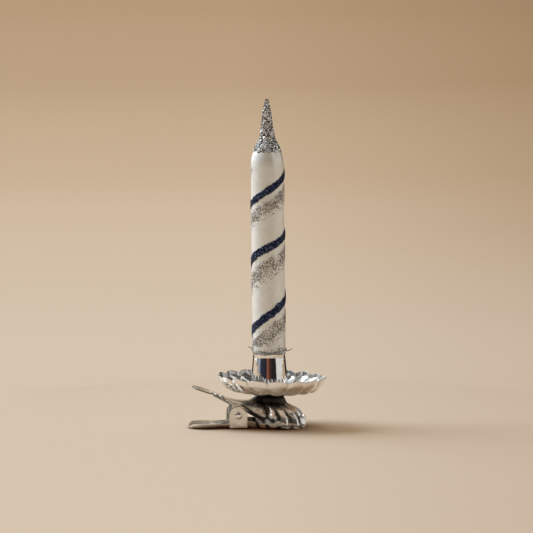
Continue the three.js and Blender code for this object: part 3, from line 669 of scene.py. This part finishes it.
def makeUpperJaw():
    j = SimpleNamespace(**upperJaw)
    flank = [(fan["x"], fan["halfWidth"]), (-4.2, 9.9), (-9.6, 7.6), (-15.6, j.waist),
             (-19.6, j.waist - 0.3), (-23.5, j.paddle - 0.2), (j.endX + 4, j.paddle),
             (j.endX + 0.9, j.paddle * 0.68), (j.endX, 0)]
    rays = jawRays(flank, rivet["radius"] + 0.25, 230)
    spine = [(j.endX, j.thumbZ), (j.ribsStart, 13.9), (j.ribsEnd, 11.7), (-15.4, 11),
             (-11.5, 10.25), (-8, 10.2), (-6, 10.7), (-4, j.seatZ)]

    def ribs(x):
        share = (x - j.ribsStart) / (j.ribsEnd - j.ribsStart)
        return np.where((share > 0) & (share < 1), np.sin(share * j.ribs * fullTurn), 0)

    def spineZ(x):
        return eased(spine, x) + j.ribHeight * ribs(x)

    edge = [(j.ribsEnd, float(eased(spine, j.ribsEnd)) - j.crown), (-15.4, 9.8), (hinge["x"], 9.0),
            (-9.6, 6.5), (-6.5, 4.8), (-2.6, 3.1), (fan["x"], j.sideZ),
            (fan["x"] + fan["reach"] * 0.48, 1.35), (fan["x"] + fan["reach"], j.tipZ)]

    def rimZ(x):
        return np.where(x <= j.ribsEnd, spineZ(x) - j.crown, eased(edge, x))

    # Painted shade round the pan's seat, along the flank's lower edge, in the fold beside the back, along the
    # lever's lower edges and between the ribs; painted highlights and painted light on the ribs, and painted light
    # on the flank just above its dark edge
    def marks(at, soil, worn):
        flankEdge = band(at.x, -12, -8, 0, 4)
        fold = band(at.x, -17, -13.5, -5, -1) * np.exp(-((at.steps - 0.5) / 0.07) ** 2)
        underLever = (1 - smooth(at.x, -18, -17)) * smooth(at.steps, 0.93, 0.98)
        crimp = ribs(at.startX)
        soil = most(soil, 0.97 * (1 - smooth(at.around, 6.1, 8.6)), flankEdge * (1 - smooth(at.above, 1.4, 1.8)),
                    0.85 * fold, 0.8 * underLever, 0.5 * smooth(-crimp, 0.2, 0.8))
        worn = most(worn * (1 - soil), smooth(crimp, 0.1, 0.7))
        pale = most(0.9 * flankEdge * band(at.above, 1.5, 1.8, 2.2, 3.2), 0.8 * smooth(crimp, 0.1, 0.6))
        return dict(soil=soil, worn=worn, pale=pale)

    fall = [(0, 0), (0.24, 0), (0.36, 0.24), (0.56, 0.35), (0.75, 0.48), (0.88, 0.65), (0.955, 0.77), (1, 1)]
    jaw = jawSurface("upper_jaw_metal", j, rays, 1 - (1 - np.linspace(0, 1, 50)) ** 1.3, spineZ, rimZ, fall, marks)
    pressSheet(jaw, j.sheet)
    outline = [*roundHinge(j.earRadius, np.linspace(math.pi, fullTurn, 30)),
               (hinge["x"] + j.earRadius - 0.5, 8.8), (hinge["x"] - j.earRadius + 0.3, 10.3)]
    return jaw, makeEars("upper_jaw_ears", outline, j.earY, j.sheet, hinge["pinRadius"] + 0.1)


lowerJaw = dict(sheet=0.45, endX=-31.6, rise=0.4, flangeZ=1.85, paddle=6.5, sideZ=1.5, fluteDepth=0.8,
                fluteFrom=0.55, fluteTo=1, fluteSharp=0.8, flankFlutes=2, sink=0, lift=0, earY=6.2, earHalf=3.4)


def makeLowerJaw():
    j = SimpleNamespace(**lowerJaw)
    floor = j.sheet / 2
    flank = [(fan["x"], fan["halfWidth"]), (-4.3, 9.7), (-8.8, j.earY + 0.2), (-16.2, j.earY),
             (-19.6, j.earY - 0.6), (-23.6, j.paddle), (j.endX + 4, j.paddle),
             (j.endX + 0.9, 4.41), (j.endX, 0)]
    rays = jawRays(flank, 0, 170)
    spine = [(j.endX + 8, floor), (-16.6, floor + j.rise), (-8.8, floor + j.rise), (-5, floor)]
    edge = [(j.endX, 0.8), (j.endX + 2, j.flangeZ), (-16.2, j.flangeZ + 0.1), (-9.4, 3),
            (-4.5, 2.5), (-2, 1.9), (fan["x"], j.sideZ), (fan["x"] + fan["reach"] * 0.3, 0.8),
            (fan["x"] + fan["reach"] * 0.48, 0.45), (fan["x"] + fan["reach"] * 0.7, floor)]

    # On the lever's rolled edge a highlight is painted above a line of painted shade
    def marks(at, soil, worn):
        lever = 1 - smooth(at.x, -17.5, -15)
        soil = most(soil, 0.75 * lever * np.exp(-((at.steps - 0.86) / 0.025) ** 2))
        return dict(soil=soil, worn=most(worn, lever * band(at.steps, 0.68, 0.74, 0.78, 0.82)), pale=0.55)

    rise = [(0, 0), (0.62, 0), (0.8, 0.18), (0.92, 0.55), (1, 1)]
    jaw = jawSurface("lower_jaw_metal", j, rays, np.linspace(0, 1, 36), lambda x: eased(spine, x),
                     lambda x: eased(edge, x), rise, marks)
    pressSheet(jaw, j.sheet)
    outline = [*roundHinge(j.earHalf, np.linspace(0, math.pi, 40)),
               (hinge["x"] - j.earHalf, 0.5), (hinge["x"] + j.earHalf, 0.5)]
    return jaw, makeEars("lower_jaw_ears", outline, j.earY, j.sheet, hinge["pinRadius"] + 0.1)


for part in makeUpperJaw():
    finished(part, upper, "tin", jawTin, "upper_jaw")
for part in makeLowerJaw():
    finished(part, lower, "tin", jawTin, "lower_jaw")
print("jaws made")


# Hinge pin with upset heads

def makePin():
    grip = lowerJaw["earY"] + lowerJaw["sheet"] / 2 + 0.15
    head, height, core = hinge["headRadius"], hinge["headHeight"], hinge["pinRadius"]
    dome = [(head * math.sin(a), grip + height * math.cos(a) ** 0.8) for a in np.linspace(0, math.pi / 2, 9)[:-1]]
    dome += [(head, grip + 0.05), (head - 0.08, grip), (core, grip)]
    profile = dome + [(r, -z) for r, z in reversed(dome)]
    pin = turned("hinge_pin_metal", profile, 36)
    pin.data.transform(facingY(hinge["x"], 0, hinge["z"]))
    return pin


finished(makePin(), lower, "tin", tin, "hinge_pin")


# Torsion spring

spring = dict(wireRadius=0.4, coil=1.95, half=3.3, turns=4, lowerLeg=(-20.4, 1.28), upperLeg=(-20.9, 11.73))


def makeSpring():
    s = SimpleNamespace(**spring)

    def leaves(leg, side):
        dx, dz = leg[0] - hinge["x"], leg[1] - hinge["z"]
        return math.atan2(dz, dx) + side * math.acos(s.coil / math.hypot(dx, dz))

    first = leaves(s.lowerLeg, 1)
    first -= fullTurn if first > 0 else 0
    last = leaves(s.upperLeg, -1) + s.turns * fullTurn
    t = np.linspace(0, 1, 170)
    angle = lerp(first, last, t)
    coil = np.column_stack((hinge["x"] + s.coil * np.cos(angle), lerp(-s.half, s.half, t),
                            hinge["z"] + s.coil * np.sin(angle)))
    low = np.linspace((s.lowerLeg[0], -s.half, s.lowerLeg[1]), coil[0], 14)[:-1]
    high = np.linspace(coil[-1], (s.upperLeg[0], s.half, s.upperLeg[1]), 14)[1:]
    return tube("spring_wound", np.vstack((low, coil, high)), s.wireRadius, 14)


coiled = makeSpring()
coiled.data.materials.append(steelWire)
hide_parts("torsion_spring")
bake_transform(coiled)
print("hinge made")


# Glass candle

candle = dict(radius=6.35, shoulder=101, top=127, wall=0.8, neckRadius=5.35, neckLength=11, round=1.4,
              bottom=28.925, relief=0.2, blueHeight=3.0, silverHeight=5.0, silverDrop=7.1, pitch=24.6,
              turnsAt=[(19, -1), (44.3, 0), (70.3, 1), (92.3, 2), (115, 3)],
              swing=[(30, 0.47), (44, 0.47), (70, -0.6), (93, 0.7), (105, 0.7)], stripeTop=103, stripeBottom=32)
tipProfile = [(101, 6.35), (103, 6.25), (104.7, 5.95), (106.3, 5.5), (108.2, 4.8), (109.9, 3.9), (111.6, 3.1),
              (113.6, 2.6), (116.8, 2.1), (120.3, 1.7), (123.6, 1.2), (125.6, 0.7), (126.6, 0.4), (127, 0)]
tipLining = [(106.3, 4.7), (109.9, 3.15), (113.6, 1.95), (118, 1.2), (120.3, 0)]


# Distance in millimetres above the nearest blue stripe's middle, and below the next one's
def stripeOffset(angle, z):
    fromFront = angle + math.pi / 2
    turns = eased(candle["turnsAt"], z - eased(candle["swing"], z) * np.sin(fromFront))
    return ((turns - fromFront / fullTurn + 0.5) % 1 - 0.5) * candle["pitch"]


def candleMasks(angle, z):
    c = SimpleNamespace(**candle)

    def waves(scale, seed):
        return ripple(angle * c.radius, z, scale, seed)

    off = stripeOffset(angle, z)
    ends = band(z, c.stripeBottom - 1, c.stripeBottom + 0.5, c.stripeTop, c.stripeTop + 3)
    closed = 1 - smooth(z, c.shoulder - 1.5, c.shoulder)
    ragged = np.abs(off + 0.45 * waves(1.5, 21) + 0.25 * waves(5, 22))
    navy = (1 - smooth(ragged, c.blueHeight / 2 - 0.15, c.blueHeight / 2 + 0.15)) * ends
    away = np.abs(off + c.silverDrop + 2 * (0.45 * waves(1.5, 21) + 0.25 * waves(5, 22)))
    patch = np.clip(0.6 + 0.9 * waves(0.9, 23), 0.1, 1)
    silver = (1 - smooth(away, c.silverHeight / 2 - 0.8, c.silverHeight / 2 + 0.9)) * patch * ends * closed
    loose = 0.12 * (1 - smooth(np.abs(off + c.silverDrop + 2.5), 2, 5.5)) * ends * closed
    crumbs = 0.16 * (1 - smooth(z + waves(1.5, 25), 29.5, 32)) * smooth(z, 28.6, 28.9)
    tip = smooth(z + 0.5 * waves(1.2, 24), 106.6, 107.6)
    return dict(navy=navy, silver=most(most(silver, loose) * (1 - navy), crumbs), tip=tip)


def makeGlass():
    c = SimpleNamespace(**candle)
    neckBottom = c.bottom + 0.2 - c.neckLength
    lowOut = [(neckBottom, c.neckRadius), (c.bottom, c.neckRadius), (c.bottom + 0.12, c.radius - 0.6),
              (c.bottom + 0.42, c.radius - 0.25), (c.bottom + 0.85, c.radius - 0.07), (c.bottom + c.round, c.radius)]
    body = [(z, c.radius) for z in np.arange(c.bottom + c.round + 0.4, c.shoulder, 0.4)]
    tipZ = c.top - (c.top - c.shoulder) * (1 - np.linspace(0, 1, 70)) ** 1.25
    tip = [(z, float(eased(tipProfile, z)) if z < c.top - 0.01 else 0) for z in tipZ]
    outer = np.array(lowOut + body + tip)
    inner = np.array([*reversed(tipLining), (c.shoulder, c.radius - c.wall),
                      (c.bottom + c.round + 0.6, c.radius - c.wall), (c.bottom + 0.4, c.neckRadius - c.wall),
                      (neckBottom, c.neckRadius - c.wall)])
    angle = roundTurn(144)
    z, r = outer[:, :1], outer[:, 1:]
    masks = candleMasks(angle, z)
    lumps = 0.03 * ripple(angle * c.radius, z, 0.35, 30) * smooth(z, 32, 36)
    r = r + np.where(r > 1, c.relief * most(masks["navy"], 0.6 * masks["silver"]) + lumps, 0)
    points = np.concatenate((polar(inner[:, 1:], angle, inner[:, :1]), polar(r, angle, z)))
    obj = makeObject("glass_body", points, gridFaces(points.shape[0], points.shape[1], closeColumns=True))
    blank = np.zeros((len(inner), len(angle)))
    for label, mask in masks.items():
        storeMask(obj, label, np.concatenate((blank, mask)))
    weld(obj)
    return smoothShade(obj)


# A band where the glass meets the cup, on which crumbs of silver are strewn
def makeCrumbSeat():
    angle = roundTurn(120)
    outline = np.array([(28.4, 6.4), (28.75, 6.3), (29.05, 6.22), (29.45, 6.38)])
    z, r = outline[:, :1], outline[:, 1:]
    patches = np.clip(0.5 + 0.9 * ripple(angle * candle["radius"], z, 1.1, 26), 0, 1)
    return gridObject("crumb_seat", polar(r, angle, z), dict(crumbs=patches), closeColumns=True)


# Scatters foil flakes over the faces where the mesh's "glitter" value is above nought
def flakeTree():
    tree = bpy.data.node_groups.new("glitter_flakes", "GeometryNodeTree")
    for label, kind in (("Geometry", "Geometry"), ("Density", "Float"), ("Radius", "Float"), ("Tilt", "Float"),
                        ("Lift", "Float"), ("Seed", "Int"), ("Foil", "Material")):
        tree.interface.new_socket(name=label, in_out="INPUT", socket_type="NodeSocket" + kind)
    tree.interface.new_socket(name="Geometry", in_out="OUTPUT", socket_type="NodeSocketGeometry")
    start, end = addNode(tree, "NodeGroupInput").outputs, addNode(tree, "NodeGroupOutput")

    def fed(kind, values, **settings):
        return fedNode(tree, kind, values, **settings)

    mask = fed("GeometryNodeInputNamedAttribute", dict(Name="glitter"), data_type="FLOAT")
    spread = fed("GeometryNodeDistributePointsOnFaces",
                 dict(Mesh=start["Geometry"], Density=times(tree, start["Density"], mask["Attribute"]),
                      Seed=start["Seed"]))
    flake = fed("GeometryNodeMeshCircle", dict(Vertices=6, Radius=start["Radius"]), fill_type="NGON")
    tilt = fed("FunctionNodeRandomValue", dict(Min=times(tree, start["Tilt"], -1.0), Max=start["Tilt"],
                                               Seed=start["Seed"]), data_type="FLOAT_VECTOR")
    turn = fed("FunctionNodeEulerToRotation", dict(Euler=tilt["Value"]))
    both = fed("FunctionNodeRotateRotation", {"Rotation": spread["Rotation"], "Rotate By": turn["Rotation"]},
               rotation_space="LOCAL")["Rotation"]
    # Sockets 2 and 3 of a random value are its least and greatest number, and its output 1 is the number
    lift = fed("FunctionNodeRandomValue", {3: start["Lift"]}, data_type="FLOAT")[1]
    offset = fed("ShaderNodeVectorMath", {0: spread["Normal"], "Scale": lift}, operation="SCALE")
    raised = fed("GeometryNodeSetPosition", dict(Geometry=spread["Points"], Offset=offset["Vector"]))
    size = fed("FunctionNodeRandomValue", {2: 0.65, 3: 1.2}, data_type="FLOAT")[1]
    put = fed("GeometryNodeInstanceOnPoints",
              dict(Points=raised["Geometry"], Instance=flake["Mesh"], Rotation=both, Scale=size))
    tint = fed("FunctionNodeRandomValue", dict(Seed=5), data_type="FLOAT")[1]
    keep = fed("GeometryNodeStoreNamedAttribute", dict(Name="tint", Geometry=put["Instances"], Value=tint),
               data_type="FLOAT", domain="INSTANCE")
    real = fed("GeometryNodeRealizeInstances", dict(Geometry=keep["Geometry"]))
    skin = fed("GeometryNodeSetMaterial", dict(Geometry=real["Geometry"], Material=start["Foil"]))
    feed(tree, end.inputs["Geometry"], skin["Geometry"])
    return tree


flakes = flakeTree()


def scatter(name, base, label, foil, **settings):
    obj = addObject(name, base.data.copy())
    obj.data.attributes.new("glitter", "FLOAT", "POINT").data.foreach_set("value", readMask(base, label))
    modifier = obj.modifiers.new("glitter", "NODES")
    modifier.node_group = flakes
    ids = {s.name: s.identifier for s in flakes.interface.items_tree if s.in_out == "INPUT"}
    for setting, value in dict(settings, Foil=foil).items():
        modifier[ids[setting]] = value
    applied(obj)
    print(name, len(obj.data.polygons), "flakes")
    return obj, foil


glass = makeGlass()
glitter = [
    scatter("navy_glitter", glass, "navy", navyFoil,
            Density=45e6, Radius=0.18 * mm, Tilt=0.5, Lift=0.12 * mm, Seed=1),
    scatter("silver_glitter", glass, "silver", silverFoil,
            Density=30e6, Radius=0.17 * mm, Tilt=0.45, Lift=0.1 * mm, Seed=2),
    scatter("tip_glitter", glass, "tip", tipFoil,
            Density=32e6, Radius=0.25 * mm, Tilt=0.45, Lift=0.14 * mm, Seed=3),
]
finished(leaning(glass), upper, "silvered_glass", satinGlass, "glass_candle")
crumbSeat = makeCrumbSeat()
glitter.append(scatter("foot_glitter", crumbSeat, "crumbs", silverFoil,
                       Density=26e6, Radius=0.17 * mm, Tilt=0.6, Lift=0.1 * mm, Seed=4))
bpy.data.objects.remove(crumbSeat)
for part, foil in glitter:
    finished(leaning(part), upper, "silvered_glass", foil)
print("candle made")


# Binding wire: crimped like tinsel wire, with a small eye and two loose ends

binding = dict(wireRadius=0.18, gap=0.15, height=0.95, turns=1.5, pitch=0.9, droop=0.1, eyeRadius=0.85,
               eyeAngle=-55, eyeLift=1.0, tail=2.4, crimp=0.07)


def makeWire():
    w = SimpleNamespace(**binding)
    ring = candle["radius"] + w.wireRadius + w.gap
    middle = candle["bottom"] + w.height

    def at(angle, turn, out=0.0, up=0.0):
        r = ring + out
        y = r * math.sin(angle)
        return (r * math.cos(angle), y, middle + w.droop * y + w.pitch * (w.turns / 2 - turn) + up)

    perTurn, perEye = 96, 28
    eyeTurn = (180 - w.eyeAngle) / 360
    eyeStep = round(eyeTurn * perTurn)
    path = [at(math.pi, 0, w.tail * t * 0.6, w.tail * t * 0.3) for t in np.linspace(1, 0, 8)[:-1]]
    for i in range(int(w.turns * perTurn) + 1):
        turn = i / perTurn
        sweep = math.pi - turn * fullTurn
        lift = w.eyeLift * (1 - float(smooth(turn, eyeTurn + 0.05, 1))) if i > eyeStep else 0
        path.append(at(sweep, turn, lift))
        for k in range(1, perEye if i == eyeStep else 1):
            roll = k / perEye * fullTurn
            path.append(at(sweep - w.eyeRadius * math.sin(roll) / ring, turn, w.eyeLift * k / perEye,
                           w.eyeRadius * (1 - math.cos(roll))))
    last = np.array(at(0, w.turns))
    knee = np.array(at(0, w.turns, w.tail * 0.45, w.tail * 0.1))
    tip = np.array(at(0, w.turns, w.tail, w.tail * 0.4))
    for a, b in ((last, knee), (knee, tip)):
        path += [tuple(lerp(a, b, t)) for t in np.linspace(0, 1, 8)[1:]]
    path = np.array(path)
    index = np.arange(len(path))
    path[:, 2] += w.crimp * np.where(index % 2, 1, -1) * smooth(index, 4, 10)
    return leaning(tube("tinsel_wire", path, w.wireRadius, 8))


finished(makeWire(), upper, "spring_wire", tinselWire, "binding_wire")
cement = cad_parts["cement_plug"]
cement.data.materials.clear()
cement.data.materials.append(cementSkin())
print("wire and cement made")


# Stage: a pale floor, and a world that is beige to the camera and a studio with dark and bright sides to the metal

view = dict(azimuth=-6.5, elevation=5, distance=1300, scale=0.3878, base=(269.5, 426.3), frame=533)

# Painted shade: the paper is darker in a wedge that opens to the right from a point in front of the object, and a
# darker and warmer brown where the object sits close above it, as a painted contact shadow
paper = dict(colour=(0.632, 0.559, 0.477), reach=90000, roughness=0.75, specular=0.2, fleck=(0.3, 0.22, 0.15),
             fleckShare=0.04, wedgePoint=1300, wedgeSlant=0.114, wedgeFrom=-0.01, wedgeTo=0.085,
             wedgeNear=(0.88, 0.85, 0.85), wedgeFar=(0.765, 0.71, 0.64), hidden=(0.42, 0.22, 0.1), hiddenReach=22)
# Painted shade: further off it turns to these darker tones, each from one distance in metres to another
floorShadeTones = [(0.3, 1.6, (0.568, 0.458, 0.346)), (1.2, 4.0, (0.458, 0.346, 0.228)), (3.5, 14, (0.419, 0.303, 0.19))]


def makeFloor():
    p = SimpleNamespace(**paper)
    rings = np.concatenate(([0], np.geomspace(30, p.reach, 60)))[:, None]
    obj = gridObject("floor", polar(rings, roundTurn(64), -0.02), closeColumns=True)
    if obj.data.polygons[0].normal.z < 0:
        obj.data.flip_normals()
    skin, tree, shader = newMaterial("floor_paper")
    place = placeNode(tree)
    x, y = fedNode(tree, "ShaderNodeSeparateXYZ", dict(Vector=place))[:2]
    before = mathNode(tree, "SUBTRACT", times(tree, y, -1.0), 0.5)
    far = mathNode(tree, "MAXIMUM", y, mathNode(tree, "MAXIMUM", mathNode(tree, "ABSOLUTE", x), before))
    colour = layered(tree, p.colour, *((rangeNode(tree, far, start, end, soft=False), tone)
                                       for start, end, tone in floorShadeTones))
    # Painted shade in the wedge to the right
    across = mathNode(tree, "SUBTRACT", x, times(tree, y, p.wedgeSlant))
    across = mathNode(tree, "DIVIDE", across, plus(tree, y, p.wedgePoint * mm))
    dimmed = mixColour(tree, rangeNode(tree, far, 0.2, 1.0, soft=False), p.wedgeNear, p.wedgeFar)
    colour = mixColour(tree, rangeNode(tree, across, p.wedgeFrom, p.wedgeTo, soft=False), colour, dimmed, "MULTIPLY")
    # Painted contact shadow: a darker, warmer brown where the object sits close above the paper
    close = fedNode(tree, "ShaderNodeAmbientOcclusion", dict(Distance=p.hiddenReach * mm), samples=8)["AO"]
    colour = mixColour(tree, rangeNode(tree, close, 0.74, 0.36, soft=False), colour, p.hidden, "MULTIPLY")
    grain = noiseNode(tree, place, 900, 3, 0.6)
    colour = mixColour(tree, times(tree, grain, p.fleckShare), colour, p.fleck)
    feedAll(tree, shader, {"Base Color": colour, "Roughness": p.roughness, "Specular IOR Level": p.specular})
    obj.data.materials.append(skin)


# Colours round the horizon for what the metal reflects, by degrees from the camera's side towards +X
beige, white, cream, grey = (0.5, 0.4, 0.28), (1.5, 1.55, 1.6), (1.0, 0.98, 0.94), (0.17, 0.165, 0.155)
soot, umber, rust = (0.02, 0.018, 0.018), (0.03, 0.025, 0.02), (0.12, 0.045, 0.03)
studioRing = [(-180, beige), (-172, beige), (-162, white), (-138, white), (-134, cream), (-98, cream), (-95, grey),
              (-88, grey), (-84, (0.36, 0.39, 0.47)), (-68, (0.27, 0.3, 0.38)), (-60, (0.03, 0.035, 0.055)),
              (-19, (0.02, 0.02, 0.03)), (-15, (0.24, 0.085, 0.045)), (-4, (0.2, 0.07, 0.04)),
              (1, (0.06, 0.03, 0.02)), (4, soot), (9, soot), (10, rust), (12, rust), (13, soot), (46, soot),
              (50, (0.7, 0.68, 0.66)), (118, (0.68, 0.66, 0.62)), (128, umber), (166, umber), (174, beige),
              (180, beige)]

# The same for the directions above them, with bright strips between dim walls
shade, strip, lampLeft, lampRight = (0.16, 0.16, 0.16), (1.4, 1.37, 1.32), (2, 2.05, 2.05), (2.2, 2.15, 2.05)
ceilingRing = [(-180, (0.22, 0.2, 0.18)), (-166, (0.14, 0.13, 0.12)), (-160, (1.6, 1.65, 1.7)), (-138, white),
               (-134, shade), (-126, shade), (-122, lampLeft), (-104, lampLeft), (-100, (0.18, 0.18, 0.18)),
               (-62, (0.2, 0.19, 0.18)), (-58, strip), (-52, strip), (-48, (0.16, 0.15, 0.14)),
               (0, (0.12, 0.11, 0.1)), (44, (0.2, 0.19, 0.17)), (48, (1.4, 1.36, 1.3)), (56, (1.4, 1.36, 1.3)),
               (60, (0.16, 0.15, 0.13)), (96, (0.1, 0.1, 0.09)), (118, (0.16, 0.15, 0.14)), (121, lampRight),
               (128, lampRight), (131, (0.14, 0.13, 0.12)), (180, (0.22, 0.2, 0.18))]


def makeWorld():
    world = bpy.data.worlds.new("studio")
    bpy.context.scene.world = world
    world.use_nodes = True
    tree = world.node_tree
    way = addNode(tree, "ShaderNodeTexCoord").outputs["Generated"]
    x, y, z = fedNode(tree, "ShaderNodeSeparateXYZ", dict(Vector=way))
    turn = mathNode(tree, "SUBTRACT", mathNode(tree, "ARCTAN2", x, times(tree, y, -1.0)), view["azimuth"] * degree)
    share = mathNode(tree, "FRACT", plus(tree, mathNode(tree, "DIVIDE", turn, fullTurn), 0.5))
    horizon, ceiling = (rampNode(tree, share, [(at / 360 + 0.5, colour) for at, colour in ring])
                        for ring in (studioRing, ceilingRing))
    above = mixColour(tree, rangeNode(tree, z, 0.9, 1), ceiling, (0.2, 0.185, 0.17))
    backdrop = mixColour(tree, rangeNode(tree, z, 0.0, 0.4), (0.386, 0.262, 0.153), (0.6, 0.5, 0.39))
    path = addNode(tree, "ShaderNodeLightPath").outputs
    seen = layered(tree, horizon, (rangeNode(tree, z, 0.3, 0.42), above),
                   (rangeNode(tree, z, -0.02, -0.12), (0.5, 0.4, 0.3)),
                   (path["Is Diffuse Ray"], (0.36, 0.255, 0.145)), (path["Is Camera Ray"], backdrop))
    feed(tree, tree.nodes["Background"].inputs["Color"], seen)


# Direction by its turn from the camera's side towards +X and its height above the floor, in degrees
def direction(turn, lift):
    a, e = (turn + view["azimuth"]) * degree, lift * degree
    return Vector((math.sin(a) * math.cos(e), -math.cos(a) * math.cos(e), math.sin(e)))


# Soft light from far away
def addLight(name, turn, lift, spread, power, colour, mirrored=True):
    lamp = bpy.data.lights.new(name, "SUN")
    lamp.angle = spread * degree
    lamp.energy = power
    lamp.color = colour
    obj = addObject(name, lamp)
    obj.location = direction(turn, lift)
    obj.visible_glossy = mirrored
    obj.rotation_mode = "QUATERNION"
    obj.rotation_quaternion = obj.location.to_track_quat("Z", "Y")


# Black cards behind the object on both sides, seen by the metal alone: they draw its edges
cards = dict(reach=150, height=24, left=(-172, -134), right=(126, 170))


def makeCards():
    for side in ("left", "right"):
        angle = (np.linspace(*cards[side], 12) + view["azimuth"] - 90) * degree
        card = gridObject("card_" + side, polar(cards["reach"], angle, np.array([[0], [cards["height"]]])))
        skin, tree, shader = newMaterial(f"card_{side}_felt")
        feedAll(tree, shader, {"Base Color": (0.01, 0.01, 0.01), "Roughness": 1})
        card.data.materials.append(skin)
        for kind in ("camera", "diffuse", "shadow", "transmission", "volume_scatter"):
            setattr(card, "visible_" + kind, False)


def makeCamera():
    right, back = direction(90, 0), direction(0, view["elevation"])
    up = back.cross(right)
    half = view["frame"] / 2
    k = view["scale"] * mm
    centre = right * ((half - view["base"][0]) * k) + up * ((view["base"][1] - half) * k)
    lens = bpy.data.cameras.new("camera")
    lens.lens = lens.sensor_width * view["distance"] * mm / (view["frame"] * k)
    lens.clip_start, lens.clip_end = 0.01, 500
    obj = addObject("camera", lens)
    obj.location = centre + back * view["distance"] * mm
    obj.rotation_mode = "QUATERNION"
    obj.rotation_quaternion = Matrix((right, up, back)).transposed().to_quaternion()
    bpy.context.scene.camera = obj


makeFloor()
makeWorld()
makeCards()
addLight("key", -113, 34, 50, 2.5, (0.78, 0.89, 1), mirrored=False)
addLight("spark", -100, 40, 30, 0.7, (0.98, 0.99, 1))
addLight("fill", -165, 64, 80, 0.78, (1, 0.83, 0.62), mirrored=False)
makeCamera()
bpy.context.scene.view_settings.view_transform = "Standard"
print("stage made")
